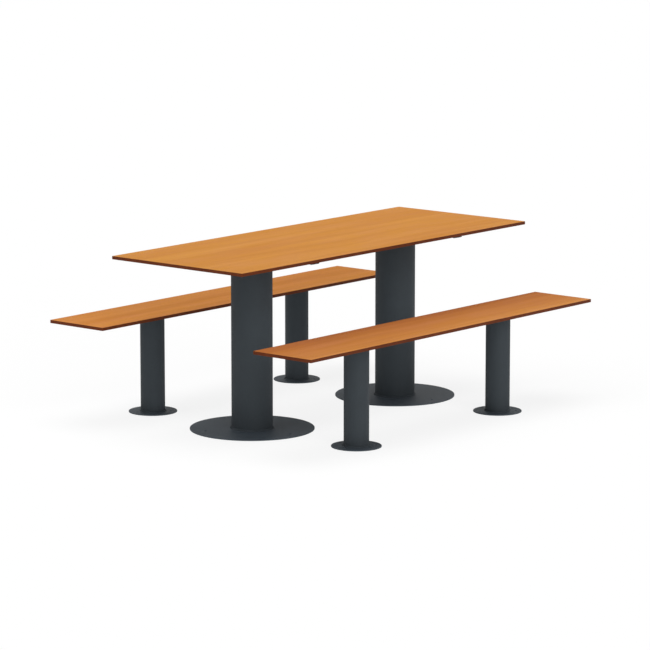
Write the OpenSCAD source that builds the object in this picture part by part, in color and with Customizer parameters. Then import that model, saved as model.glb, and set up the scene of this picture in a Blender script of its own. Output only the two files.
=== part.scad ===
// Picnic set: a long table and two benches of thin compact laminate, each on two round steel pedestals.
// The origin is on the floor under the middle of the table. X runs along the tops, Z is up,
// and the front bench is on the -Y side. Left is -X and right is +X.

/* [Table] */
// Length of the table top
table_l = 1830; // [1650:5:2000]
// Width of the table top
table_w = 692; // [640:1:740]
// Height of the table top's upper face above the floor
table_h = 728; // [700:1:760]

/* [Benches] */
// Length of each bench seat
bench_l = 1830; // [1650:5:2000]
// Width of each bench seat
bench_w = 295; // [270:1:340]
// Height of the seat's upper face above the floor
bench_h = 430; // [400:1:470]
// From the table's centre line to a bench's centre line
bench_offset = 548; // [530:1:640]

/* [Laminate sheets] */
// Thickness of the laminate sheets
panel_t = 13; // [12.5:0.5:18]
// Radius of the sheets' corners, seen from above
panel_corner_r = 4; // [2:0.5:12]
// Chamfer that breaks the sheets' sharp edges
panel_chamfer = 1; // [0.5:0.25:1.5]

/* [Columns] */
// Distance between the two pedestals of the table, and of each bench
column_spacing = 923; // [860:1:1000]
// Outer diameter of the table's tubes
table_tube_d = 168.3; // [150:0.1:180]
// Wall of the table's tubes
table_tube_wall = 4.5; // [3:0.5:8]
// Outer diameter of the bench tubes
bench_tube_d = 101.6; // [90:0.1:108]
// Wall of the bench tubes
bench_tube_wall = 3.6; // [2.5:0.1:6]
// Leg of the fillet welds on the table's tubes
table_weld = 5; // [3:0.5:8]
// Leg of the fillet welds on the bench tubes
bench_weld = 4; // [3:0.5:6]

/* [Base plates] */
// Diameter of the table's base plates
table_base_d = 508; // [470:1:560]
// Thickness of the table's base plates
table_base_t = 4; // [3:0.5:12]
// Circle of the anchor holes in the table's base plates
table_anchor_circle = 400; // [260:1:430]
// Diameter of those anchor holes
table_anchor_d = 12; // [9:0.5:18]
// Diameter of the bench base plates
bench_base_d = 202; // [190:1:260]
// Thickness of the bench base plates
bench_base_t = 4; // [3:0.5:12]
// Circle of the anchor holes in the bench base plates
bench_anchor_circle = 152; // [136:1:166]
// Diameter of those anchor holes
bench_anchor_d = 11; // [9:0.5:14]
// Anchor holes in each base plate
anchor_count = 3; // [3:1:4]
// Chamfer round the upper rim of the base plates
base_chamfer = 0.8; // [0.4:0.1:1.5]
// Drain hole in the middle of each base plate, inside the tube
drain_d = 20; // [10:1:30]

/* [Table spiders] */
// Thickness of the spiders
spider_t = 5; // [5:0.5:10]
// Width of a spider's arms
spider_arm_w = 50; // [40:1:60]
// Diameter of a spider's round hub
spider_hub_d = 240; // [200:1:260]
// How far the cross arms stop short of the top's long edges
spider_setback = 6; // [4:0.5:40]
// Reach of the arms that run along the table, from the tube's axis
spider_long_reach = 332; // [280:1:360]
// Rounding of the arms' corners
spider_corner_r = 10; // [3:0.5:12]
// Fillets in the corners between the hub and the arms
spider_fillet_r = 25; // [10:1:30]
// Distance of the inner screws from the tube's axis
spider_inner_screw = 150; // [140:1:200]
// Distance of the outer screws from the arms' ends
spider_end_screw = 25; // [18:1:40]

/* [Bench brackets] */
// Thickness of the brackets
bracket_t = 6; // [5:0.5:10]
// Width of a bracket, along the bench
bracket_w = 120; // [116:1:150]
// How far a bracket stops short of the seat's long edges
bracket_setback = 32.5; // [20:0.5:36]
// Rounding of the brackets' corners
bracket_corner_r = 10; // [4:1:14]
// Distance of the screws from the bracket's edges
bracket_edge_screw = 16; // [14:0.5:20]

/* [Fasteners] */
// Thread diameter of the screws
screw_d = 8; // [6:1:8]
// Length of the screws under the head
screw_l = 16; // [15:0.5:16.5]
// Diameter of the screws' button heads
screw_head_d = 14; // [12:0.5:15]
// Height of the screws' button heads
screw_head_h = 4.4; // [3.5:0.1:5]
// Width across flats of the hexagon socket
socket_w = 5; // [4:0.5:6]
// Depth of the hexagon socket
socket_depth = 2.6; // [2:0.1:3]
// Outer diameter of the washers
washer_d = 16; // [15.5:0.5:20]
// Thickness of the washers
washer_t = 1.6; // [1.2:0.1:2]
// Outer diameter of the threaded inserts
insert_d = 12; // [10.5:0.5:14]
// Length of the threaded inserts
insert_l = 9; // [8.5:0.5:9.5]
// Room round a screw in a hole that it passes through, on the diameter
screw_room = 1; // [0.4:0.1:1.5]
// Room between the pieces of a threaded joint, on the diameter
thread_room = 0.2; // [0.1:0.05:0.4]
// Depth that is left free above an insert in its blind hole
insert_room = 1; // [0.5:0.1:2]

/* [Hidden] */

$fn = 96;

// Extra length of a cutting tool, so that it runs clear of the faces it cuts
cut = 1;

left = -column_spacing / 2;
right = column_spacing / 2;
front = -bench_offset;
back = bench_offset;

// Undersides of the sheets
table_under = table_h - panel_t;
bench_under = bench_h - panel_t;

// Angles of the first anchor hole: the table's points at the front bench, a bench's along the set
table_anchor_turn = -90;
bench_anchor_turn = -60;

spider_cross_reach = table_w / 2 - spider_setback;
bracket_l = bench_w - 2 * bracket_setback;

// Fastener places seen from above, measured from the tube's axis
spider_screws = [
    for (across = [-1, 1]) each [
        [across * spider_inner_screw, 0],
        [across * (spider_long_reach - spider_end_screw), 0],
        [0, across * spider_inner_screw],
        [0, across * (spider_cross_reach - spider_end_screw)]
    ]
];
bracket_screws = [
    for (along = [-1, 1], across = [-1, 1])
        [along * (bracket_w / 2 - bracket_edge_screw), across * (bracket_l / 2 - bracket_edge_screw)]
];

laminate = "#c98a44";
powder_coat = "#3b4247";
zinc = "#b9bec2";
brass = "#b08d4f";

// Flat outlines

// A rectangle about the origin with round corners
module rounded_rectangle(length, width, radius) {
    square([length - 2 * radius, width], center = true);
    square([length, width - 2 * radius], center = true);
    for (x = [-1, 1], y = [-1, 1])
        translate([x * (length / 2 - radius), y * (width / 2 - radius)]) circle(r = radius);
}

// The end view of a sheet: its width by its thickness, with all four edges broken
module sheet_profile(width) {
    half = width / 2;
    c = panel_chamfer;
    polygon([
        [-half + c, 0], [half - c, 0], [half, c], [half, panel_t - c],
        [half - c, panel_t], [-half + c, panel_t], [-half, panel_t - c], [-half, c]
    ]);
}

// The eight fillets between a round hub and the four arms that leave it
module hub_fillets(hub_r, arm_half, radius) {
    side = arm_half + radius;
    along = sqrt(pow(hub_r + radius, 2) - pow(side, 2));
    to_hub = hub_r / (hub_r + radius);
    for (turn = [0 : 90 : 270], flip = [0, 1])
        rotate(turn) mirror([0, flip])
            difference() {
                polygon([[0, 0], [along, 0], [along, side], [along * to_hub, side * to_hub]]);
                translate([along, side]) circle(r = radius);
            }
}

// Laminate sheets

// A sheet with its underside at z = 0 and a blind hole for each insert, over both pedestals
module laminate_sheet(length, width, screws) {
    difference() {
        intersection() {
            linear_extrude(panel_t) rounded_rectangle(length, width, panel_corner_r);
            rotate([90, 0, 90]) linear_extrude(length, center = true) sheet_profile(width);
            rotate([90, 0, 0]) linear_extrude(width, center = true) sheet_profile(length);
        }
        for (pedestal = [left, right], place = screws)
            translate([pedestal + place[0], place[1], -cut])
                cylinder(d = insert_d + thread_room, h = insert_l + insert_room + cut);
    }
}

// Pedestals

// A tube from one plate up to another, with a fillet weld round its outside at both ends
module welded_tube(diameter, wall, weld, bottom, top) {
    r = diameter / 2;
    difference() {
        union() {
            translate([0, 0, bottom]) cylinder(r = r, h = top - bottom);
            translate([0, 0, bottom]) cylinder(r1 = r + weld, r2 = r, h = weld);
            translate([0, 0, top - weld]) cylinder(r1 = r, r2 = r + weld, h = weld);
        }
        translate([0, 0, bottom - cut]) cylinder(r = r - wall, h = top - bottom + 2 * cut);
    }
}

// A round plate on the floor with a broken upper rim, a ring of anchor holes and a drain hole
module base_plate(diameter, thickness, circle_d, hole_d, turn) {
    difference() {
        union() {
            cylinder(d = diameter, h = thickness - base_chamfer);
            translate([0, 0, thickness - base_chamfer])
                cylinder(d1 = diameter, d2 = diameter - 2 * base_chamfer, h = base_chamfer);
        }
        for (i = [0 : anchor_count - 1])
            rotate(turn + i * 360 / anchor_count)
                translate([circle_d / 2, 0, -cut]) cylinder(d = hole_d, h = thickness + 2 * cut);
        translate([0, 0, -cut]) cylinder(d = drain_d, h = thickness + 2 * cut);
    }
}

// The cross under the table top: a round hub with four arms, cut from one plate
module spider() {
    translate([0, 0, table_under - spider_t])
        difference() {
            linear_extrude(spider_t) {
                circle(d = spider_hub_d);
                rounded_rectangle(2 * spider_long_reach, spider_arm_w, spider_corner_r);
                rounded_rectangle(spider_arm_w, 2 * spider_cross_reach, spider_corner_r);
                hub_fillets(spider_hub_d / 2, spider_arm_w / 2, spider_fillet_r);
            }
            screw_holes(spider_screws, spider_t);
            translate([0, 0, -cut]) cylinder(d = drain_d, h = spider_t + 2 * cut);
        }
}

// The plate between a bench column and the seat
module bracket() {
    translate([0, 0, bench_under - bracket_t])
        difference() {
            linear_extrude(bracket_t) rounded_rectangle(bracket_w, bracket_l, bracket_corner_r);
            screw_holes(bracket_screws, bracket_t);
            translate([0, 0, -cut]) cylinder(d = drain_d, h = bracket_t + 2 * cut);
        }
}

module screw_holes(screws, thickness) {
    for (place = screws)
        translate([place[0], place[1], -cut])
            cylinder(d = screw_d + screw_room, h = thickness + 2 * cut);
}

// Fasteners, each on its own axis with the plate's lower face at z = 0

// A button head screw pointing up, its head under the washer
module button_screw() {
    translate([0, 0, -washer_t]) {
        cylinder(d = screw_d - thread_room, h = screw_l);
        difference() {
            intersection() {
                translate([0, 0, -screw_head_h]) cylinder(d = screw_head_d, h = screw_head_h);
                translate([0, 0, button_radius() - screw_head_h]) sphere(r = button_radius());
            }
            translate([0, 0, -screw_head_h - cut])
                cylinder(d = socket_w / cos(30), h = socket_depth + cut, $fn = 6);
        }
    }
}

// Radius of the ball that a button head's dome is cut from
function button_radius() = (pow(screw_head_d / 2, 2) + pow(screw_head_h, 2)) / (2 * screw_head_h);

module washer() {
    translate([0, 0, -washer_t])
        difference() {
            cylinder(d = washer_d, h = washer_t);
            translate([0, 0, -cut]) cylinder(d = screw_d + screw_room / 2, h = washer_t + 2 * cut);
        }
}

// A plain sleeve standing on z = 0, which is the underside of its sheet
module insert() {
    difference() {
        cylinder(d = insert_d, h = insert_l);
        translate([0, 0, -cut]) cylinder(d = screw_d, h = insert_l + 2 * cut);
    }
}

// Puts its child at every screw place of both pedestals, at one height
module at_screws(screws, height) {
    for (pedestal = [left, right], place = screws)
        translate([pedestal + place[0], place[1], height]) children();
}

// Whole pieces of the table and of a bench that stands on the origin

module table_column() {
    welded_tube(table_tube_d, table_tube_wall, table_weld, table_base_t, table_under - spider_t);
}

module bench_column() {
    welded_tube(bench_tube_d, bench_tube_wall, bench_weld, bench_base_t, bench_under - bracket_t);
}

module table_base_plate() {
    base_plate(table_base_d, table_base_t, table_anchor_circle, table_anchor_d, table_anchor_turn);
}

module bench_base_plate() {
    base_plate(bench_base_d, bench_base_t, bench_anchor_circle, bench_anchor_d, bench_anchor_turn);
}

module bench_seat() {
    translate([0, 0, bench_under]) laminate_sheet(bench_l, bench_w, bracket_screws);
}

module bench_screws() {
    at_screws(bracket_screws, bench_under - bracket_t) button_screw();
}

module bench_washers() {
    at_screws(bracket_screws, bench_under - bracket_t) washer();
}

module bench_inserts() {
    at_screws(bracket_screws, bench_under) insert();
}

// The pieces by name

module table_top() {
    color(laminate) translate([0, 0, table_under]) laminate_sheet(table_l, table_w, spider_screws);
}
module table_spider_left() { color(powder_coat) translate([left, 0, 0]) spider(); }
module table_spider_right() { color(powder_coat) translate([right, 0, 0]) spider(); }
module table_column_left() { color(powder_coat) translate([left, 0, 0]) table_column(); }
module table_column_right() { color(powder_coat) translate([right, 0, 0]) table_column(); }
module table_base_plate_left() { color(powder_coat) translate([left, 0, 0]) table_base_plate(); }
module table_base_plate_right() { color(powder_coat) translate([right, 0, 0]) table_base_plate(); }
module table_screws() { color(zinc) at_screws(spider_screws, table_under - spider_t) button_screw(); }
module table_washers() { color(zinc) at_screws(spider_screws, table_under - spider_t) washer(); }
module table_inserts() { color(brass) at_screws(spider_screws, table_under) insert(); }

module front_bench_seat() { color(laminate) translate([0, front, 0]) bench_seat(); }
module front_bench_bracket_left() { color(powder_coat) translate([left, front, 0]) bracket(); }
module front_bench_bracket_right() { color(powder_coat) translate([right, front, 0]) bracket(); }
module front_bench_column_left() { color(powder_coat) translate([left, front, 0]) bench_column(); }
module front_bench_column_right() { color(powder_coat) translate([right, front, 0]) bench_column(); }
module front_bench_base_plate_left() { color(powder_coat) translate([left, front, 0]) bench_base_plate(); }
module front_bench_base_plate_right() { color(powder_coat) translate([right, front, 0]) bench_base_plate(); }
module front_bench_screws() { color(zinc) translate([0, front, 0]) bench_screws(); }
module front_bench_washers() { color(zinc) translate([0, front, 0]) bench_washers(); }
module front_bench_inserts() { color(brass) translate([0, front, 0]) bench_inserts(); }

module back_bench_seat() { color(laminate) translate([0, back, 0]) bench_seat(); }
module back_bench_bracket_left() { color(powder_coat) translate([left, back, 0]) bracket(); }
module back_bench_bracket_right() { color(powder_coat) translate([right, back, 0]) bracket(); }
module back_bench_column_left() { color(powder_coat) translate([left, back, 0]) bench_column(); }
module back_bench_column_right() { color(powder_coat) translate([right, back, 0]) bench_column(); }
module back_bench_base_plate_left() { color(powder_coat) translate([left, back, 0]) bench_base_plate(); }
module back_bench_base_plate_right() { color(powder_coat) translate([right, back, 0]) bench_base_plate(); }
module back_bench_screws() { color(zinc) translate([0, back, 0]) bench_screws(); }
module back_bench_washers() { color(zinc) translate([0, back, 0]) bench_washers(); }
module back_bench_inserts() { color(brass) translate([0, back, 0]) bench_inserts(); }

table_top();
table_spider_left();
table_spider_right();
table_column_left();
table_column_right();
table_base_plate_left();
table_base_plate_right();
table_screws();
table_washers();
table_inserts();
front_bench_seat();
front_bench_bracket_left();
front_bench_bracket_right();
front_bench_column_left();
front_bench_column_right();
front_bench_base_plate_left();
front_bench_base_plate_right();
front_bench_screws();
front_bench_washers();
front_bench_inserts();
back_bench_seat();
back_bench_bracket_left();
back_bench_bracket_right();
back_bench_column_left();
back_bench_column_right();
back_bench_base_plate_left();
back_bench_base_plate_right();
back_bench_screws();
back_bench_washers();
back_bench_inserts();
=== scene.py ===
# %% [markdown]
# # A picnic set of compact laminate on round steel pedestals
#
# The set is a long table with a bench on either side. Its three tops are thin sheets of compact laminate
# with a wood decor, and each stands on two powder coated tubes welded to round plates on the floor.
# The construction comes in as a fixed frame: every sheet, tube, plate and screw at its real size, in metres.
# What is left for Blender is what the eye judges, which is the edges of the sheets, the weld beads and the
# finish of every surface. X runs along the tops, Z is up and the front bench is on the -Y side.

# %% Load the frame
import math

import bmesh
import bpy
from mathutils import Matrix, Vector


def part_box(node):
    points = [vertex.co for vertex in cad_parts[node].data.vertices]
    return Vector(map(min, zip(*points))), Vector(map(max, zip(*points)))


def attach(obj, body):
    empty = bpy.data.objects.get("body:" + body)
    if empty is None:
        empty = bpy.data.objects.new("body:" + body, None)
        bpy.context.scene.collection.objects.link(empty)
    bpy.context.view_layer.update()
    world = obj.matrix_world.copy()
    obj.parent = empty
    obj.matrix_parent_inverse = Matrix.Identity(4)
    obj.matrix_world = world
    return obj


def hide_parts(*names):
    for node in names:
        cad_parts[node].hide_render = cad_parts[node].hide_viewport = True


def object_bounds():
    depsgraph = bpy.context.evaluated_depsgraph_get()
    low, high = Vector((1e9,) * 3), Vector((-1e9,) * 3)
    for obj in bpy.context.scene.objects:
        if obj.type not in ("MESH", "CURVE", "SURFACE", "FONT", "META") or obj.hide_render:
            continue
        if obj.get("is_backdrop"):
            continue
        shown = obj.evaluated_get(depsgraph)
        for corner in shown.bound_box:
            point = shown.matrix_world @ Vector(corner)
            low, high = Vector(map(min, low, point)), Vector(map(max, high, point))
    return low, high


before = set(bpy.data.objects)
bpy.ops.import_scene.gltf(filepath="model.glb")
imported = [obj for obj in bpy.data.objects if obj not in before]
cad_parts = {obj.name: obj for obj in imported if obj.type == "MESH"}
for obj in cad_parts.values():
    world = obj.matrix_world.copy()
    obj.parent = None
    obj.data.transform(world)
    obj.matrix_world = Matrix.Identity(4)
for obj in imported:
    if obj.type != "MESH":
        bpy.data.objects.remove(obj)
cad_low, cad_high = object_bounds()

print("nodes in the frame:", len(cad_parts))
print("box of the frame:", [round(side, 4) for side in cad_high - cad_low])

# %% [markdown]
# ## Working values
#
# A maker thinks in millimetres and Blender works in metres, so one factor turns one into the other. The
# frame tells nearly all sizes. The few that it can't tell, such as how soft an edge is, are written as real
# sizes in the cell that first needs them. Two tiny distances say when points or heights are the same.

# %% Units and sheets
MM = 0.001
SAME_POINT = 0.001 * MM
SAME_LEVEL = 0.01 * MM

SHEETS = {
    "table_top_sheet": "table_top",
    "front_seat_sheet": "front_bench_seat",
    "back_seat_sheet": "back_bench_seat",
}
for sheet, node in SHEETS.items():
    low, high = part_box(node)
    print(sheet, "is", [round(side / MM, 1) for side in high - low], "mm")

# %% [markdown]
# ## Small helpers for edit mode
#
# With a mouse, edges are picked by eye. In a script they are picked by a rule, such as every edge that
# stands upright. One helper selects what passes a rule, and one makes a piece the only thing that the next
# operator can act on, because the frame's own nodes must never be touched.


# %% Select in code
def only(piece):
    """Makes this the one selected and active object, in object mode."""
    if bpy.context.object and bpy.context.object.mode == "EDIT":
        bpy.ops.object.mode_set(mode="OBJECT")
    bpy.ops.object.select_all(action="DESELECT")
    piece.select_set(True)
    bpy.context.view_layer.objects.active = piece


def pick(kind, rule):
    """In edit mode, selects the VERT, EDGE or FACE elements that pass the rule, and nothing else."""
    bpy.ops.mesh.select_mode(type=kind)
    bpy.ops.mesh.select_all(action="DESELECT")
    mesh = bmesh.from_edit_mesh(bpy.context.object.data)
    elements = {"VERT": mesh.verts, "EDGE": mesh.edges, "FACE": mesh.faces}[kind]
    for element in [element for element in elements if rule(element)]:
        element.select_set(True)
    bmesh.update_edit_mesh(bpy.context.object.data)


def settle(piece):
    """Moves a piece's place, turn and size from its object into its mesh."""
    only(piece)
    bpy.ops.object.transform_apply(location=True, rotation=True, scale=True)


bpy.ops.object.select_all(action="DESELECT")
print("selected now:", len(bpy.context.selected_objects))

# %% [markdown]
# ## Where the inserts sit
#
# Threaded brass inserts are pressed into blind holes in the underside of each sheet, and the screws
# come up into them. The frame holds all inserts of one sheet as one node. A copy of it is merged and
# separated into loose parts, as one would do by hand, and the middle of each part says where to drill.


# %% Measure the inserts
def insert_boxes(node_name):
    """The lowest and highest corner of every insert in a node, read from a copy of it."""
    only(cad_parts[node_name])
    bpy.ops.object.duplicate(linked=False)
    copy = bpy.context.object
    only(copy)
    bpy.ops.object.mode_set(mode="EDIT")
    bpy.ops.mesh.select_all(action="SELECT")
    bpy.ops.mesh.remove_doubles(threshold=SAME_POINT)
    bpy.ops.mesh.separate(type="LOOSE")
    bpy.ops.object.mode_set(mode="OBJECT")
    loose = list(bpy.context.selected_objects)
    boxes = []
    for part in loose:
        corners = [Vector(corner) for corner in part.bound_box]
        low = Vector(map(min, zip(*corners)))
        high = Vector(map(max, zip(*corners)))
        boxes.append((low, high))
    for part in loose:
        bpy.data.objects.remove(part)
    return boxes


INSERTS = {
    "table_top_sheet": insert_boxes("table_inserts"),
    "front_seat_sheet": insert_boxes("front_bench_inserts"),
    "back_seat_sheet": insert_boxes("back_bench_inserts"),
}
for sheet, boxes in INSERTS.items():
    print(sheet, "has", len(boxes), "inserts")

# %% [markdown]
# ## The three laminate sheets
#
# Compact laminate is many papers soaked in resin and pressed into one hard sheet. It is sawn, its corners
# are rounded with a router and its sharp edges are eased with a fine cutter, so light catches a thin line
# there. A plain box would have edges of no width at all. The sheet starts as a cube at its size and place,
# its four upright edges are bevelled to the corner radius, and then the two outlines are bevelled softly.

# %% Cut a sheet to its outline
SHEET_CORNER = 4 * MM     # radius of a sheet's corners, seen from above
SHEET_ARRIS = 0.8 * MM    # how far a sheet's sharp edges are eased
CORNER_STEPS = 8          # flat faces in each bevel
ARRIS_STEPS = 3
ROUND = 0.5               # the profile of a bevel that is a quarter circle
UPRIGHT = 1 * MM          # an edge that climbs more than this stands upright


def cut_sheet(name, node):
    """A sheet in the box of its node, with round corners and eased edges."""
    low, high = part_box(node)
    bpy.ops.object.select_all(action="DESELECT")
    bpy.ops.mesh.primitive_cube_add(size=1, location=(low + high) / 2, scale=high - low)
    piece = bpy.context.object
    piece.name = name
    piece.data.name = name
    settle(piece)
    bpy.ops.object.mode_set(mode="EDIT")
    pick("EDGE", lambda edge: abs(edge.verts[0].co.z - edge.verts[1].co.z) > UPRIGHT)
    bpy.ops.mesh.bevel(offset=SHEET_CORNER, segments=CORNER_STEPS, profile=ROUND, affect="EDGES")
    pick("EDGE", lambda edge: edge_is_outline(edge, low.z, high.z))
    bpy.ops.mesh.bevel(offset=SHEET_ARRIS, segments=ARRIS_STEPS, profile=ROUND, affect="EDGES")
    bpy.ops.object.mode_set(mode="OBJECT")
    return piece


def edge_is_outline(edge, bottom, top):
    """True for an edge between an upright face and the sheet's top or underside."""
    heights = [vert.co.z for vert in edge.verts]
    at_top = min(heights) > top - SAME_LEVEL
    at_bottom = max(heights) < bottom + SAME_LEVEL
    return at_top or at_bottom


sheets = {name: cut_sheet(name, node) for name, node in SHEETS.items()}
for name, piece in sheets.items():
    print(name, "has", len(piece.data.polygons), "faces")

# %% [markdown]
# ## Drill the blind holes
#
# The holes stop short of the decor side, so nothing shows from above. A boolean is the natural tool,
# because it does what a drill does: the drill bits are cylinders at the measured places, joined
# into one cutter, and the cutter is thrown away after the modifier is applied.

# %% Drill the sheets
INSERT_ROOM = 0.2 * MM        # room round a threaded insert, on the diameter
INSERT_DEPTH_ROOM = 1 * MM    # depth left free above an insert in its blind hole
HOLE_SIDES = 48               # flat faces round a hole


def drill(piece, boxes):
    """Cuts a blind hole round every insert from the underside of a sheet."""
    bits = []
    for low, high in boxes:
        radius = (high.x - low.x + INSERT_ROOM) / 2
        bottom = low.z - INSERT_DEPTH_ROOM
        top = high.z + INSERT_DEPTH_ROOM
        place = ((low.x + high.x) / 2, (low.y + high.y) / 2, (bottom + top) / 2)
        bpy.ops.mesh.primitive_cylinder_add(
            vertices=HOLE_SIDES, radius=radius, depth=top - bottom, location=place
        )
        settle(bpy.context.object)
        bits.append(bpy.context.object)
    only(bits[0])
    for bit in bits:
        bit.select_set(True)
    bpy.ops.object.join()
    cutter = bpy.context.object
    only(piece)
    bpy.ops.object.modifier_add(type="BOOLEAN")
    boolean = piece.modifiers[-1]
    boolean.operation = "DIFFERENCE"
    boolean.solver = "EXACT"
    boolean.object = cutter
    bpy.ops.object.modifier_apply(modifier=boolean.name)
    bpy.data.objects.remove(cutter)


for name, piece in sheets.items():
    drill(piece, INSERTS[name])
    print(name, "is drilled and has", len(piece.data.polygons), "faces")

# %% [markdown]
# ## Smooth the eased edges
#
# Smooth shading alone would bend the light across the flat faces, because their corners share a normal
# with the small bevel. Weighted normals let the large face win, so the flat stays flat and only the
# eased edge turns.

# %% Shade the sheets
SHEET_SMOOTH = 35         # degrees: edges that turn less than this are shaded smooth


def shade(piece):
    """Smooth shading over the eased edges, with the large faces kept flat."""
    only(piece)
    bpy.ops.object.shade_smooth_by_angle(angle=math.radians(SHEET_SMOOTH))
    bpy.ops.object.modifier_add(type="WEIGHTED_NORMAL")
    weighted = piece.modifiers[-1]
    weighted.keep_sharp = True
    bpy.ops.object.modifier_apply(modifier=weighted.name)


for piece in sheets.values():
    shade(piece)
print("sheets shaded:", len(sheets))

# %% [markdown]
# ## One weld bead, by hand
#
# Each tube is welded all round to the plate at its foot and to the plate at its head. A weld laid by hand
# is a chain of small overlapping pools, and it still shows through the powder coat as fine crescents.
# Its face is nearly flat and runs at 45 degrees from the plate to the tube. A torus would be far too round.
# Here a large circle is drawn, only the short arc between plate and tube is kept, and its two ends are
# extruded into the corner where nobody sees them, so the section is closed before it is spun.

# %% Draw the section
WELD_SEGMENT = 1.0 * MM    # distance between two rings of the bead
WELD_BURIED = 0.3 * MM     # how far the toes of the bead sink into tube and plate
WELD_INSET = 1.5           # legs from the corner to the middle of the circle: more makes the face flatter
CIRCLE_POINTS = 180        # points on the whole circle that the arc is cut from


def weld_section(axis, tube_radius, floor, leg):
    """The closed section of a bead, in the corner between a tube and the plate under it."""
    inset = WELD_INSET * leg
    radius = math.hypot(leg + inset, inset)
    place = (axis.x + tube_radius - inset, axis.y, floor - inset)
    bpy.ops.object.select_all(action="DESELECT")
    bpy.ops.mesh.primitive_circle_add(
        vertices=CIRCLE_POINTS, radius=radius, location=place, rotation=(math.radians(90), 0, 0)
    )
    piece = bpy.context.object
    settle(piece)
    corner = Vector((axis.x + tube_radius - WELD_BURIED, axis.y, floor - WELD_BURIED))
    bpy.ops.object.mode_set(mode="EDIT")
    pick("VERT", lambda vert: vert.co.x < corner.x or vert.co.z < corner.z)
    bpy.ops.mesh.delete(type="VERT")
    mesh = bmesh.from_edit_mesh(piece.data)
    ends = [vert.co.copy() for vert in mesh.verts if len(vert.link_edges) == 1]
    for end in ends:
        pick("VERT", lambda vert: (vert.co - end).length < SAME_POINT)
        bpy.ops.mesh.extrude_vertices_move(TRANSFORM_OT_translate={"value": corner - end})
    bpy.ops.mesh.select_all(action="SELECT")
    bpy.ops.mesh.remove_doubles(threshold=SAME_POINT)
    return piece


print("one point of the circle every", 360 / CIRCLE_POINTS, "degrees")

# %% [markdown]
# ## Spin it and lay the pools
#
# The spin takes the section round the tube's axis in short steps. Every fourth ring is then pushed out,
# the one after it is drawn in, and the next two climb back, so each pool rises slowly and ends in
# a small step. The middle of the bead is turned a little further round than its toes, which bends each
# step into a crescent.

# %% Make a whole bead
# How far each ring of a pool is pushed out, from the one that is drawn in to the crest
POOL_RISES = (-0.22 * MM, -0.08 * MM, 0.08 * MM, 0.22 * MM)
POOL_LEAD = 1.8 * MM       # how far a crescent runs ahead in the middle of the bead
LEAD_STEPS = 6             # steps in which the lines between toe and middle are turned
SEAM_GAP = 0.01 * MM       # the last ring of the spin lands this near to the first


def weld_bead(name, axis, tube_radius, floor, leg):
    """A rippled ring of weld round a tube's foot, with its place in its mesh."""
    piece = weld_section(axis, tube_radius, floor, leg)
    piece.name = name
    piece.data.name = name
    pools = round(2 * math.pi * tube_radius / (WELD_SEGMENT * len(POOL_RISES)))
    rings = pools * len(POOL_RISES)
    bpy.ops.mesh.select_all(action="SELECT")
    bpy.ops.mesh.spin(steps=rings, angle=2 * math.pi, center=(axis.x, axis.y, 0), axis=(0, 0, 1))
    bpy.ops.mesh.select_all(action="SELECT")
    bpy.ops.mesh.remove_doubles(threshold=SEAM_GAP)
    bpy.ops.mesh.select_all(action="SELECT")
    bpy.ops.mesh.normals_make_consistent(inside=False)

    def ring_of(vert):
        turn = math.atan2(vert.co.y - axis.y, vert.co.x - axis.x)
        return round(turn / (2 * math.pi) * rings) % rings

    for step, rise in enumerate(POOL_RISES):
        pick("VERT", lambda vert: ring_of(vert) % len(POOL_RISES) == step)
        bpy.ops.transform.shrink_fatten(value=rise)
    lead_pools(axis, tube_radius, floor, leg)
    bpy.ops.object.mode_set(mode="OBJECT")
    return piece


def lead_pools(axis, tube_radius, floor, leg):
    """Turns the middle of the bead ahead of its toes, line by line."""
    for step in range(LEAD_STEPS):
        nearest = step / LEAD_STEPS
        further = (step + 1) / LEAD_STEPS

        def inside(vert):
            out = math.hypot(vert.co.x - axis.x, vert.co.y - axis.y) - tube_radius
            up = vert.co.z - floor
            return out + up > leg / 2 and nearest < 1 - abs(out - up) / leg <= further

        pick("VERT", inside)
        share = 1 - (1 - further) ** 2
        bpy.ops.transform.rotate(
            value=share * POOL_LEAD / tube_radius,
            orient_axis="Z",
            center_override=(axis.x, axis.y, floor),
        )


print("a pool is", len(POOL_RISES) * WELD_SEGMENT / MM, "mm long")

# %% [markdown]
# ## Copies for all six columns
#
# There are two sizes of tube, so one bead is made for a table column and one for a bench column. The rest
# are copies, each with a mesh of its own: at the foot they are only moved, and at the head they are also
# turned over, after which their faces are made to point outwards again.


# %% Copy and turn over
def column_ends(node):
    """The point on a column's axis at its foot, and the height of its head."""
    low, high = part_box(node)
    middle = (low + high) / 2
    return Vector((middle.x, middle.y, low.z)), high.z


def copy_of(piece, name):
    """A copy with its own mesh."""
    only(piece)
    bpy.ops.object.duplicate(linked=False)
    copy = bpy.context.object
    copy.name = name
    copy.data.name = name
    return copy


def turn_over(piece, middle):
    """Mirrors a piece top to bottom about a height, and turns its faces out again."""
    only(piece)
    bpy.ops.object.mode_set(mode="EDIT")
    bpy.ops.mesh.select_all(action="SELECT")
    bpy.ops.transform.resize(value=(1, 1, -1), center_override=(0, 0, middle))
    bpy.ops.mesh.normals_make_consistent(inside=False)
    bpy.ops.object.mode_set(mode="OBJECT")


foot, head_z = column_ends("table_column_left")
print("a table column stands", round((head_z - foot.z) / MM, 1), "mm high on its plate")

# %% [markdown]
# ## A bead at each foot and each head
#
# The construction has a plain conical fillet at both ends of every tube. The legs of a bead are a little
# longer than those of the fillet, so the bead covers it, and its toes end on the plate and on the tube.

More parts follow.
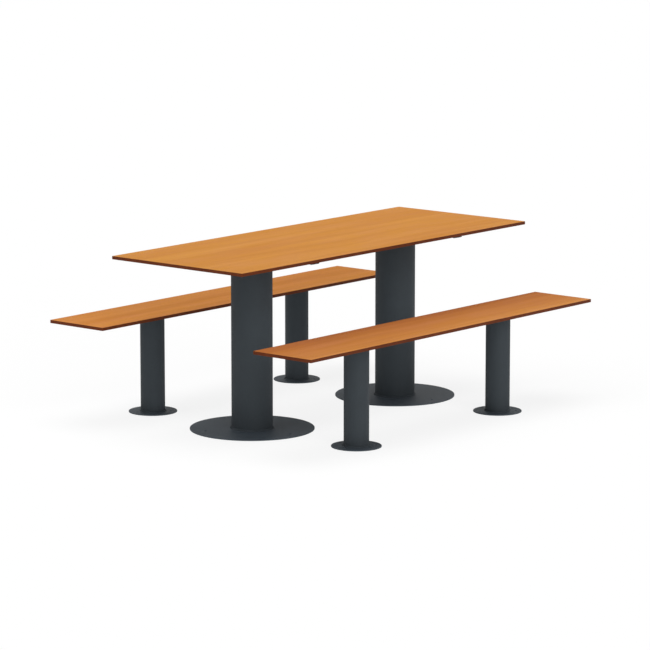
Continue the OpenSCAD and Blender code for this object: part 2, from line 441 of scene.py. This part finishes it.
# %% Place the beads
WELD_LEG = {"table": 5.8 * MM, "bench": 4.7 * MM}
WELD_SMOOTH = 60          # degrees: edges that turn less than this are shaded smooth
TUBE_RADIUS = {"table": 168.3 / 2 * MM, "bench": 101.6 / 2 * MM}
COLUMNS = {
    "table_left": ("table_column_left", "table"),
    "table_right": ("table_column_right", "table"),
    "front_bench_left": ("front_bench_column_left", "bench"),
    "front_bench_right": ("front_bench_column_right", "bench"),
    "back_bench_left": ("back_bench_column_left", "bench"),
    "back_bench_right": ("back_bench_column_right", "bench"),
}
beads = {}
masters = {}
for column, (node, kind) in COLUMNS.items():
    foot, head_z = column_ends(node)
    name = column + "_foot_weld"
    if kind in masters:
        master, master_foot = masters[kind]
        beads[name] = copy_of(master, name)
        beads[name].location = foot - master_foot
        settle(beads[name])
    else:
        beads[name] = weld_bead(name, foot, TUBE_RADIUS[kind], foot.z, WELD_LEG[kind])
        masters[kind] = (beads[name], foot)
    head = column + "_head_weld"
    beads[head] = copy_of(beads[name], head)
    turn_over(beads[head], (foot.z + head_z) / 2)

for piece in beads.values():
    only(piece)
    bpy.ops.object.shade_smooth_by_angle(angle=math.radians(WELD_SMOOTH))
most_faces = max(len(piece.data.polygons) for piece in beads.values())
print("weld beads:", len(beads), "with", most_faces, "faces each at most")

# %% [markdown]
# ## Colours and nodes
#
# Colours are written as they look on a screen, as sRGB hex, and one function turns them into the linear
# values that Blender's shaders use. One more function adds a node with its settings and links, so that
# each material below reads as a list of what it does. Nearly every pattern here is a noise that is
# stretched to a real size, so that has a function too. Its seed moves a noise to another place, so that
# no two patterns on a surface run alike.

# %% Colour and node helpers
NOISE_ROUGHNESS = 0.55    # how much of a noise each finer layer of it adds


def srgb(code):
    """A hex colour such as #D1904D as linear red, green and blue, by the sRGB standard, and a full alpha."""
    channels = [int(code[i : i + 2], 16) / 255 for i in (1, 3, 5)]
    linear = [c / 12.92 if c <= 0.04045 else ((c + 0.055) / 1.055) ** 2.4 for c in channels]
    return (*linear, 1.0)


def add_node(tree, kind, inputs=None, **settings):
    """Adds a node. An input is a plain value, or the output socket of another node to link."""
    node = tree.nodes.new(kind)
    for name, value in settings.items():
        setattr(node, name, value)
    for name, value in (inputs or {}).items():
        if isinstance(value, bpy.types.NodeSocket):
            tree.links.new(value, node.inputs[name])
        else:
            node.inputs[name].default_value = value
    return node


def new_material(name):
    """An empty material: its node tree, its shader and the Object coordinates, in metres."""
    material = bpy.data.materials.new(name)
    material.use_nodes = True
    tree = material.node_tree
    tree.nodes.clear()
    shader = add_node(tree, "ShaderNodeBsdfPrincipled")
    add_node(tree, "ShaderNodeOutputMaterial", {"Surface": shader.outputs["BSDF"]})
    place = add_node(tree, "ShaderNodeTexCoord").outputs["Object"]
    return material, tree, shader, place


def stretched_noise(tree, place, size_mm, detail, seed=0.0):
    """Noise with grains of a size in millimetres along X, Y and Z. Detail adds finer layers to it."""
    scale = tuple(1 / (side * MM) for side in size_mm)
    mapping = add_node(
        tree, "ShaderNodeMapping", {"Vector": place, "Location": (seed, seed, seed), "Scale": scale}
    )
    inputs = {
        "Vector": mapping.outputs["Vector"],
        "Scale": 1.0,
        "Detail": detail,
        "Roughness": NOISE_ROUGHNESS,
    }
    return add_node(tree, "ShaderNodeTexNoise", inputs).outputs["Fac"]


print("a test colour:", [round(c, 3) for c in srgb("#D1904D")])

# %% [markdown]
# ## Compact laminate, decor side
#
# The face of the sheet is a printed decor paper under melamine resin, pressed against a matt plate. It
# shows a straight grained, warm orange brown wood: wide soft bands where the rings of the tree pass, narrow
# lines between them and short fine pores. All of them run along the sheet, so each noise is stretched
# along X. The pores are a quarter of a millimetre wide and a few millimetres long, as on the real print.
# Real grain is never ruler straight, so a slow noise pushes all of it a little sideways. Here and there
# the wood turns from a pinker brown to honey yellow, in soft patches a little longer than a hand. Two
# small helpers do these two things.

# %% Grain sizes and helpers
# Each size is in millimetres along the sheet, across it and in depth
BANDS_MM = (1100, 60, 60)
LINES_MM = (420, 5, 5)
FIBRES_MM = (90, 0.9, 0.9)
PORES_MM = (4, 0.25, 0.25)
DRIFT_MM = (450, 220, 220)
HONEY_MM = (220, 45, 45)
GRAIN_DRIFT = 60 * MM     # the slow noise pushes a line of the grain by at most half of this either way
NOISE_MIDDLE = 0.5        # a noise runs from 0 to 1 about this value
HONEY_TINT = "#FFFFE1"    # what the wood's colour is multiplied by where it is most yellow
INNER_SHADE_TINT = "#E0C8CC"    # and by where the painted shade at the front bench's inner side is darkest

# A Mix node for colours has its factor, its two colours and its result at these places
FACTOR = 0
COLOUR_A = 6
COLOUR_B = 7
MIXED = 2


def wandering(tree, place):
    """The place, pushed a little sideways by a slow noise."""
    drift = stretched_noise(tree, place, DRIFT_MM, detail=1.0, seed=11.4)
    centred = add_node(tree, "ShaderNodeMath", {0: drift, 1: NOISE_MIDDLE}, operation="SUBTRACT")
    sideways = add_node(
        tree, "ShaderNodeMath", {0: centred.outputs[0], 1: GRAIN_DRIFT}, operation="MULTIPLY"
    )
    push = add_node(tree, "ShaderNodeCombineXYZ", {"Y": sideways.outputs[0]})
    pushed = add_node(tree, "ShaderNodeVectorMath", {0: place, 1: push.outputs[0]}, operation="ADD")
    return pushed.outputs[0]


def tinted(tree, wood, tint, value, nothing, whole):
    """Multiplies the wood's colour by a tint, from not at all at one value to wholly at another."""
    share = add_node(tree, "ShaderNodeMapRange", {"Value": value, "From Min": nothing, "From Max": whole})
    mixed = add_node(
        tree,
        "ShaderNodeMix",
        {FACTOR: share.outputs["Result"], COLOUR_A: wood, COLOUR_B: srgb(tint)},
        data_type="RGBA",
        blend_type="MULTIPLY",
    )
    return mixed.outputs[MIXED]


print("the grain's lines are", LINES_MM[1], "mm wide and its fibres", FIBRES_MM[1], "mm")

# %% [markdown]
# ## Lay the decor together
#
# Bands, lines and fibres are added up to one value, and that value picks a colour between deep and pale
# wood. The tints and then the pores come on top. The benches' decor is set a little redder than the table's.
# The front one also carries a painted shade along its whole length: from pale wood at its outer side it
# grows darker and redder towards its inner side, next to the table. The matt resin has a weak shine, so the
# specular level is low and the colour itself is full.

# %% Decor material
BANDS_SHARE = 0.5               # how much the bands, the lines and the fibres each add to the grain
LINES_SHARE = 0.32
FIBRES_SHARE = 0.18
GRAIN_RANGE = (0.36, 0.64)      # the sum at which the wood is as deep or as pale as it gets
HONEY_RANGE = (0.35, 0.65)      # the noise at which the honey tint begins and is whole
PORE_RANGE = (0.62, 0.8)        # the noise at which a pore begins and is whole
RESIN_IOR = 1.5                 # melamine, phenolic and polyester resin are all near this
DECOR_SHINE = 0.04              # specular level
DECOR_ROUGHNESS = (0.62, 0.76)
DECOR_RELIEF = 0.25             # strength of the bump
PORE_DEPTH = 0.03 * MM


def decor(name, deep, pale, pore, painted_shade_span=None):
    """Matt wood decor with its grain along X. The last argument, if given, is a span on Y over which a
    painted shade grows from none to darkest.
    """
    material, tree, shader, place = new_material(name)
    grown = wandering(tree, place)
    bands = stretched_noise(tree, grown, BANDS_MM, detail=2.0)
    lines = stretched_noise(tree, grown, LINES_MM, detail=3.0, seed=3.7)
    fibres = stretched_noise(tree, grown, FIBRES_MM, detail=2.0, seed=8.1)
    wide = add_node(tree, "ShaderNodeMath", {0: bands, 1: BANDS_SHARE}, operation="MULTIPLY")
    narrow = add_node(
        tree, "ShaderNodeMath", {0: lines, 1: LINES_SHARE, 2: wide.outputs[0]}, operation="MULTIPLY_ADD"
    )
    grain = add_node(
        tree, "ShaderNodeMath", {0: fibres, 1: FIBRES_SHARE, 2: narrow.outputs[0]}, operation="MULTIPLY_ADD"
    )
    shade_of_grain = add_node(
        tree,
        "ShaderNodeMapRange",
        {"Value": grain.outputs[0], "From Min": GRAIN_RANGE[0], "From Max": GRAIN_RANGE[1]},
    )
    wood = add_node(
        tree,
        "ShaderNodeMix",
        {FACTOR: shade_of_grain.outputs["Result"], COLOUR_A: srgb(deep), COLOUR_B: srgb(pale)},
        data_type="RGBA",
    ).outputs[MIXED]
    honey = stretched_noise(tree, grown, HONEY_MM, detail=2.0, seed=14.2)
    wood = tinted(tree, wood, HONEY_TINT, honey, *HONEY_RANGE)
    # Painted shade: the wood gets darker and redder across Y, wholly at the far end of the span
    if painted_shade_span:
        across = add_node(tree, "ShaderNodeSeparateXYZ", {"Vector": grown}).outputs["Y"]
        wood = tinted(tree, wood, INNER_SHADE_TINT, across, *painted_shade_span)
    pores = stretched_noise(tree, place, PORES_MM, detail=0.0, seed=5.3)
    pits = add_node(
        tree,
        "ShaderNodeMapRange",
        {"Value": pores, "From Min": PORE_RANGE[0], "From Max": PORE_RANGE[1]},
    )
    pitted = add_node(
        tree,
        "ShaderNodeMix",
        {FACTOR: pits.outputs["Result"], COLOUR_A: wood, COLOUR_B: srgb(pore)},
        data_type="RGBA",
    )
    tree.links.new(pitted.outputs[MIXED], shader.inputs["Base Color"])

    # The press plate leaves a matt face: roughness from grain, and pores pressed a few hundredths deep
    dull = add_node(
        tree,
        "ShaderNodeMapRange",
        {"Value": lines, "To Min": DECOR_ROUGHNESS[0], "To Max": DECOR_ROUGHNESS[1]},
    )
    tree.links.new(dull.outputs["Result"], shader.inputs["Roughness"])
    shader.inputs["IOR"].default_value = RESIN_IOR
    shader.inputs["Specular IOR Level"].default_value = DECOR_SHINE
    relief = add_node(tree, "ShaderNodeMath", {0: fibres, 1: pits.outputs["Result"]}, operation="SUBTRACT")
    bump = add_node(
        tree,
        "ShaderNodeBump",
        {"Height": relief.outputs[0], "Strength": DECOR_RELIEF, "Distance": PORE_DEPTH},
    )
    tree.links.new(bump.outputs["Normal"], shader.inputs["Normal"])
    return material


seat_low, seat_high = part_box("front_bench_seat")
DECORS = {
    "table_top_sheet": decor("compact_laminate_decor_table", "#C68241", "#D39350", "#9F6936"),
    # The front bench gets a painted shade across Y, darkest at its inner side next to the table
    "front_seat_sheet": decor(
        "compact_laminate_decor_front_bench", "#BF7B3F", "#CF8C50", "#9A6034", (seat_low.y, seat_high.y)
    ),
    "back_seat_sheet": decor("compact_laminate_decor_back_bench", "#C57C3D", "#D58E4F", "#A06334"),
}
for sheet, material in DECORS.items():
    print(sheet, "gets", material.name)

# %% [markdown]
# ## Compact laminate, core
#
# The edge of the sheet shows its core: about sixty brown kraft papers in phenolic resin, sawn and
# polished. It is darker and redder than the decor, with hair lines that follow the sheet. The papers are
# pressed as thin as a fifth of a millimetre. They are drawn a little thicker, so that a close view shows
# them, with a noise that is fine in height and long in the other directions.

# %% Core material
LAYERS_MM = (500, 500, 0.35)
CORE_CLOUD_MM = (60, 60, 60)
LAYERS_SHARE = 0.7              # how much the layers and the cloud each add to the tone
CORE_CLOUD_SHARE = 0.3
CORE_RANGE = (0.35, 0.65)       # the sum at which the core is as dark or as light as it gets
CORE_SHINE = 0.08
CORE_ROUGHNESS = (0.5, 0.65)
CORE_RELIEF = 0.2               # strength of the bump
CORE_DEPTH = 0.02 * MM


def core(name, dark, light):
    """Polished phenolic core with its thin layers along the sheet."""
    material, tree, shader, place = new_material(name)
    layers = stretched_noise(tree, place, LAYERS_MM, detail=1.0, seed=1.9)
    cloud = stretched_noise(tree, place, CORE_CLOUD_MM, detail=1.0, seed=6.4)
    tone = add_node(tree, "ShaderNodeMath", {0: layers, 1: LAYERS_SHARE}, operation="MULTIPLY")
    blend = add_node(
        tree, "ShaderNodeMath", {0: cloud, 1: CORE_CLOUD_SHARE, 2: tone.outputs[0]}, operation="MULTIPLY_ADD"
    )
    spread = add_node(
        tree,
        "ShaderNodeMapRange",
        {"Value": blend.outputs[0], "From Min": CORE_RANGE[0], "From Max": CORE_RANGE[1]},
    )
    paper = add_node(
        tree,
        "ShaderNodeMix",
        {FACTOR: spread.outputs["Result"], COLOUR_A: srgb(dark), COLOUR_B: srgb(light)},
        data_type="RGBA",
    )
    tree.links.new(paper.outputs[MIXED], shader.inputs["Base Color"])
    dull = add_node(
        tree,
        "ShaderNodeMapRange",
        {"Value": layers, "To Min": CORE_ROUGHNESS[0], "To Max": CORE_ROUGHNESS[1]},
    )
    tree.links.new(dull.outputs["Result"], shader.inputs["Roughness"])
    shader.inputs["IOR"].default_value = RESIN_IOR
    shader.inputs["Specular IOR Level"].default_value = CORE_SHINE
    bump = add_node(
        tree, "ShaderNodeBump", {"Height": layers, "Strength": CORE_RELIEF, "Distance": CORE_DEPTH}
    )
    tree.links.new(bump.outputs["Normal"], shader.inputs["Normal"])
    return material


laminate_core = core("compact_laminate_core", "#4A200C", "#602D13")
print("core material:", laminate_core.name)

# %% [markdown]
# ## Compact laminate, back
#
# A sheet with one decor side has a plain backing paper on the other, pressed against the same matt plate.
# It is a dark grey with the faint cloudiness of dyed paper under resin. A decor under the table
# would throw a warm light on the steel, and the steel of the real set is cool right up to the sheet.

# %% Back material
BACK_CLOUD_MM = (14, 14, 14)
PRESS_PLATE_MM = (0.8, 0.8, 0.8)    # the grit that the press plate leaves in the resin
BACK_SHINE = 0.3
BACK_ROUGHNESS = (0.6, 0.74)
BACK_RELIEF = 0.3                   # strength of the bump
BACK_DEPTH = 0.02 * MM


def backing(name, dark, light):
    """Plain dyed paper under matt resin."""
    material, tree, shader, place = new_material(name)
    cloud = stretched_noise(tree, place, BACK_CLOUD_MM, detail=3.0, seed=7.7)
    dyed = add_node(
        tree,
        "ShaderNodeMix",
        {FACTOR: cloud, COLOUR_A: srgb(dark), COLOUR_B: srgb(light)},
        data_type="RGBA",
    )
    tree.links.new(dyed.outputs[MIXED], shader.inputs["Base Color"])
    plate = stretched_noise(tree, place, PRESS_PLATE_MM, detail=1.0, seed=0.6)
    dull = add_node(
        tree,
        "ShaderNodeMapRange",
        {"Value": plate, "To Min": BACK_ROUGHNESS[0], "To Max": BACK_ROUGHNESS[1]},
    )
    tree.links.new(dull.outputs["Result"], shader.inputs["Roughness"])
    shader.inputs["IOR"].default_value = RESIN_IOR
    shader.inputs["Specular IOR Level"].default_value = BACK_SHINE
    bump = add_node(
        tree, "ShaderNodeBump", {"Height": plate, "Strength": BACK_RELIEF, "Distance": BACK_DEPTH}
    )
    tree.links.new(bump.outputs["Normal"], shader.inputs["Normal"])
    return material


laminate_back = backing("compact_laminate_back", "#404345", "#4A4D4F")
print("back material:", laminate_back.name)

# %% [markdown]
# ## Put decor, core and back on the sheets
#
# The cutter that eased the edges went through the decor and the back, and the drill went deep into the
# core. So a face has decor only where it lies flat at the top and backing only where it lies flat at the
# underside, and all the rest is core.

# %% Finish of each sheet
DECOR_PLACE = 0           # places of the three finishes in a sheet's list of materials
CORE_PLACE = 1
BACK_PLACE = 2
LEVEL = 0.99              # a face is level where its normal's Z is more than this


def finish_sheet(piece, decor_finish):
    """Decor on the flat top, backing on the flat underside and core on everything that was cut."""
    heights = [vert.co.z for vert in piece.data.vertices]
    bottom = min(heights)
    top = max(heights)
    piece.data.materials.clear()
    for finish in (decor_finish, laminate_core, laminate_back):
        piece.data.materials.append(finish)
    for face in piece.data.polygons:
        face.material_index = CORE_PLACE
        if face.normal.z > LEVEL and top - face.center.z < SAME_LEVEL:
            face.material_index = DECOR_PLACE
        if face.normal.z < -LEVEL and face.center.z - bottom < SAME_LEVEL:
            face.material_index = BACK_PLACE


for name, piece in sheets.items():
    finish_sheet(piece, DECORS[name])
    cut_faces = sum(face.material_index == CORE_PLACE for face in piece.data.polygons)
    print(name, "shows its core on", cut_faces, "faces")

# %% [markdown]
# ## Powder coated steel
#
# Tubes, plates and spiders are blasted, sprayed with a dark anthracite polyester powder and baked.
# The powder melts into a tough matt skin with a very fine texture and, under it, a slight orange peel.
# The plates on the floor have the same coat, drawn a little smoother and glossier, so at the low angle of
# the camera they reflect more of the white studio. Their colour is also painted paler than the tubes', as
# painted light, so the plates look lighter than the tubes. The texture is about half a millimetre in reality
# and is drawn at just over one, so that a close view shows it without sparkle.

# %% Powder coat material
GRIT_MM = (1.2, 1.2, 1.2)
PEEL_MM = (7, 7, 7)
COAT_CLOUD_MM = (90, 90, 90)
GRIT_SHARE = 0.85               # how much the grit and the cloud each add to the tone
COAT_CLOUD_SHARE = 0.15
COAT_RANGE = (0.35, 0.65)       # the sum at which the coat is as dark or as light as it gets
COAT_ROUGHNESS_SPAN = 0.14      # how much smoother than its dullest grain the coat gets
PEEL_RELIEF = 0.5               # strengths of the two bumps
GRIT_RELIEF = 0.8
PEEL_DEPTH = 0.1 * MM
GRIT_DEPTH = 0.12 * MM


def powder_coat(name, dark, light, shine, dullest):
    """Matt fine-textured powder coat. Shine is the specular level and dullest the highest roughness."""
    material, tree, shader, place = new_material(name)
    grit = stretched_noise(tree, place, GRIT_MM, detail=1.0)
    peel = stretched_noise(tree, place, PEEL_MM, detail=1.0, seed=2.2)
    cloud = stretched_noise(tree, place, COAT_CLOUD_MM, detail=2.0, seed=4.8)
    soft = add_node(tree, "ShaderNodeMath", {0: cloud, 1: COAT_CLOUD_SHARE}, operation="MULTIPLY")
    mottle = add_node(
        tree, "ShaderNodeMath", {0: grit, 1: GRIT_SHARE, 2: soft.outputs[0]}, operation="MULTIPLY_ADD"
    )
    spread = add_node(
        tree,
        "ShaderNodeMapRange",
        {"Value": mottle.outputs[0], "From Min": COAT_RANGE[0], "From Max": COAT_RANGE[1]},
    )
    paint = add_node(
        tree,
        "ShaderNodeMix",
        {FACTOR: spread.outputs["Result"], COLOUR_A: srgb(dark), COLOUR_B: srgb(light)},
        data_type="RGBA",
    )
    tree.links.new(paint.outputs[MIXED], shader.inputs["Base Color"])
    smoothest = dullest - COAT_ROUGHNESS_SPAN
    dull = add_node(tree, "ShaderNodeMapRange", {"Value": grit, "To Min": smoothest, "To Max": dullest})
    tree.links.new(dull.outputs["Result"], shader.inputs["Roughness"])
    shader.inputs["IOR"].default_value = RESIN_IOR
    shader.inputs["Specular IOR Level"].default_value = shine
    soft_bump = add_node(
        tree, "ShaderNodeBump", {"Height": peel, "Strength": PEEL_RELIEF, "Distance": PEEL_DEPTH}
    )
    fine_bump = add_node(
        tree,
        "ShaderNodeBump",
        {
            "Height": grit,
            "Strength": GRIT_RELIEF,
            "Distance": GRIT_DEPTH,
            "Normal": soft_bump.outputs["Normal"],
        },
    )
    tree.links.new(fine_bump.outputs["Normal"], shader.inputs["Normal"])
    return material


anthracite = powder_coat("anthracite_powder_coat", "#252A2E", "#30373C", shine=0.3, dullest=0.82)
# The plates' coat: its paler colour is painted light, and it is smoother and glossier
plate_coat_painted_lighter = powder_coat("anthracite_powder_coat_painted_lighter", "#2B333A", "#374048", shine=0.38, dullest=0.73)
print("powder coats:", anthracite.name, plate_coat_painted_lighter.name)

# %% [markdown]
# ## Zinc plate and brass
#
# The screws and washers are steel with a thin layer of zinc, passivated to a pale bluish grey. They are
# duller than polished steel because the zinc is laid down as fine crystals. The inserts are turned
# from brass bar. Both are metals, so their colour is in the reflection and the IOR stays as it is.

# %% Metal materials
METAL_ROUGHNESS_SPAN = 0.06     # how far the roughness goes up and down with the grain
METAL_RELIEF = 0.2              # strength of the bump
METAL_DEPTH = 0.02 * MM


def plain_metal(name, dark, light, roughness, grain_mm):
    """Bare or plated metal with a fine cloudy grain."""
    material, tree, shader, place = new_material(name)
    grain = stretched_noise(tree, place, (grain_mm, grain_mm, grain_mm), detail=2.0)
    tone = add_node(
        tree,
        "ShaderNodeMix",
        {FACTOR: grain, COLOUR_A: srgb(dark), COLOUR_B: srgb(light)},
        data_type="RGBA",
    )
    tree.links.new(tone.outputs[MIXED], shader.inputs["Base Color"])
    shader.inputs["Metallic"].default_value = 1.0
    smoothest = roughness - METAL_ROUGHNESS_SPAN
    dullest = roughness + METAL_ROUGHNESS_SPAN
    dull = add_node(tree, "ShaderNodeMapRange", {"Value": grain, "To Min": smoothest, "To Max": dullest})
    tree.links.new(dull.outputs["Result"], shader.inputs["Roughness"])
    bump = add_node(
        tree, "ShaderNodeBump", {"Height": grain, "Strength": METAL_RELIEF, "Distance": METAL_DEPTH}
    )
    tree.links.new(bump.outputs["Normal"], shader.inputs["Normal"])
    return material


zinc = plain_metal("bright_zinc_plate", "#A9AFB4", "#C4C9CD", roughness=0.36, grain_mm=0.8)
brass = plain_metal("turned_brass", "#B08F50", "#C9A866", roughness=0.3, grain_mm=0.6)
print("metals:", zinc.name, brass.name)

# %% [markdown]
# ## Give every piece its finish
#
# The frame's nodes keep their meshes and only get a better material. Which finish a node takes can be
# read from its name. The new pieces ride on the one body of the set, and each sheet stands for its node.
# The nodes that they stand for are hidden, and get a decor all the same.

# %% Finish of the nodes and the new pieces
FINISH_BY_WORD = {
    "spider": anthracite,
    "bracket": anthracite,
    "column": anthracite,
    "base_plate": plate_coat_painted_lighter,
    "screws": zinc,
    "washers": zinc,
    "inserts": brass,
    "top": DECORS["table_top_sheet"],
    "seat": DECORS["back_seat_sheet"],
}
for name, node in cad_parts.items():
    finish = next(material for word, material in FINISH_BY_WORD.items() if word in name)
    node.data.materials.clear()
    node.data.materials.append(finish)

for name, piece in sheets.items():
    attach(piece, "root")
    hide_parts(SHEETS[name])

for piece in beads.values():
    piece.data.materials.clear()
    piece.data.materials.append(anthracite)
    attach(piece, "root")
print("nodes finished:", len(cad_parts), "new pieces:", len(sheets) + len(beads))

# %% [markdown]
# ## Studio light
#
# The set stands in a white studio, between a wide softbox overhead and a floor that glows softly, as
# a light table does. The softbox is needed because the inner half of each bench is darker than the rest.
# The floor is needed because each column gets darker towards its foot, where its own plate hides the floor
# from it. A very weak dome fills the rest. What the camera and the reflections see is set apart: white.

# %% World
SKY_STRENGTH = 0.01


def seen_directly(tree):
    """1 for a ray from the camera, a reflection or a glass, and 0 for light that is scattered."""
    path = add_node(tree, "ShaderNodeLightPath").outputs
    seen = add_node(
        tree, "ShaderNodeMath", {0: path["Is Camera Ray"], 1: path["Is Glossy Ray"]}, operation="MAXIMUM"
    )
    through = add_node(
        tree, "ShaderNodeMath", {0: seen.outputs[0], 1: path["Is Transmission Ray"]}, operation="MAXIMUM"
    )
    return through.outputs[0]


world = bpy.data.worlds.new("white_studio")
bpy.context.scene.world = world
world.use_nodes = True
sky = world.node_tree
sky.nodes.clear()
dome = add_node(sky, "ShaderNodeBackground", {"Color": srgb("#FFFFFF"), "Strength": SKY_STRENGTH})
backdrop = add_node(sky, "ShaderNodeBackground", {"Color": srgb("#FFFFFF"), "Strength": 1.0})
shown = add_node(
    sky, "ShaderNodeMixShader", {0: seen_directly(sky), 1: dome.outputs[0], 2: backdrop.outputs[0]}
)
add_node(sky, "ShaderNodeOutputWorld", {"Surface": shown.outputs[0]})
print("sky strength:", SKY_STRENGTH)

# %% [markdown]
# ## Three soft lamps
#
# The softbox hangs right over the set, a broad fill stands low in front, and a weaker lamp stands higher up
# at the left end, a little behind. Each is a sun lamp with a wide disc: it lights the whole set evenly, as a
# large lamp far away does, and its wide disc gives soft shadows. The strengths are such that a level
# surface gets about pi in all, at which a colour renders about as it is written.

# %% Lamps
LAMP_PLACE = (0, 0, 3)    # where their symbols stand: a sun lamp lights the same from anywhere
# Strength in watts per square metre, width of the disc, height above the level and turn, in degrees
LAMPS = {
    "overhead_softbox": (1.76, 40, 90, 0),
    "front_fill": (1.73, 50, 23, -23),
    "back_light": (0.92, 40, 50, -113),
}
level = SKY_STRENGTH      # the light on a level surface, where 1 is pi and so the plain level
for name, (strength, width, height, turn) in LAMPS.items():
    tilt = math.radians(90 - height)
    bpy.ops.object.light_add(type="SUN", location=LAMP_PLACE, rotation=(tilt, 0, math.radians(turn)))
    lamp = bpy.context.object
    lamp.name = name
    lamp.data.energy = strength
    lamp.data.angle = math.radians(width)
    level += strength * math.sin(math.radians(height)) / math.pi
print("light on a level surface, where 1 is plain:", round(level, 3))

# %% [markdown]
# ## The floor
#
# The floor is a plain pale plane, large enough to pass under the horizon. To the camera it is nearly as
# white as the backdrop: most of its white shines by itself and the rest is lit, so the set keeps a soft
# shadow under it. Scattered light meets a grey floor with a glow instead: the grey sends up what falls on
# it, which is less under the set, and the glow sends up the same everywhere.

# %% Floor
FLOOR_SIZE = 160.0        # metres, beyond what the camera can see
FLOOR_OWN_LIGHT = 0.86    # share of the floor's white that doesn't depend on shadow
FLOOR_GREY = "#DADADA"    # what the floor sends back up to the set
FLOOR_GLOW = 0.81         # light that the floor sends up by itself

bpy.ops.object.select_all(action="DESELECT")
bpy.ops.mesh.primitive_plane_add(size=FLOOR_SIZE, location=(0, 0, 0))
floor = bpy.context.object
floor.name = "studio_floor"
paper = bpy.data.materials.new("white_studio_floor")
paper.use_nodes = True
tree = paper.node_tree
tree.nodes.clear()
lit = add_node(tree, "ShaderNodeBsdfDiffuse", {"Color": srgb("#FFFFFF")})
own = add_node(tree, "ShaderNodeEmission", {"Color": srgb("#FFFFFF"), "Strength": 1.0})
white = add_node(tree, "ShaderNodeMixShader", {0: FLOOR_OWN_LIGHT, 1: lit.outputs[0], 2: own.outputs[0]})
grey = add_node(tree, "ShaderNodeBsdfDiffuse", {"Color": srgb(FLOOR_GREY)})
glow = add_node(tree, "ShaderNodeEmission", {"Color": srgb("#FFFFFF"), "Strength": FLOOR_GLOW})
below = add_node(tree, "ShaderNodeAddShader", {0: grey.outputs[0], 1: glow.outputs[0]})
surface = add_node(
    tree, "ShaderNodeMixShader", {0: seen_directly(tree), 1: below.outputs[0], 2: white.outputs[0]}
)
add_node(tree, "ShaderNodeOutputMaterial", {"Surface": surface.outputs[0]})
floor.data.materials.append(paper)
floor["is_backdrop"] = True
print("floor:", FLOOR_SIZE, "m across")

# %% [markdown]
# ## The camera
#
# The photograph was taken from far away with a long lens, from the front left and ten degrees above the
# level, so the long edges hardly converge. Place, tilt and lens were found by fitting the edges of the
# sheets, the sides of the tubes and the outlines of the plates to the photograph.

# %% Camera
CAMERA_PLACE = (-11.1796, -9.3671, 2.9338)
CAMERA_TILT = 80.007      # degrees from straight down
CAMERA_TURN = -50.038     # degrees round Z, from looking along +Y
CAMERA_LENS = 197.94      # mm
CAMERA_SENSOR = 36        # mm wide
VIEW_DEPTH = 200          # metres, so that the far side of the floor is still drawn

bpy.ops.object.camera_add(
    location=CAMERA_PLACE, rotation=(math.radians(CAMERA_TILT), 0, math.radians(CAMERA_TURN))
)
camera = bpy.context.object
camera.data.sensor_width = CAMERA_SENSOR
camera.data.lens = CAMERA_LENS
camera.data.clip_end = VIEW_DEPTH
bpy.context.scene.camera = camera
bpy.context.scene.view_settings.view_transform = "Standard"
print("camera at", CAMERA_PLACE)

# %% [markdown]
# ## Check the size
#
# The dressed set must be exactly as large as the frame. Both boxes are compared here.

# %% Compare the boxes
low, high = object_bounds()
boxes = {
    "cad": [list(cad_low), list(cad_high)],
    "visual": [list(low), list(high)],
}
grown_by = [round(max(a - b, c - d) / MM, 3) for a, b, c, d in zip(cad_low, low, high, cad_high)]
print("grown by", grown_by, "mm")
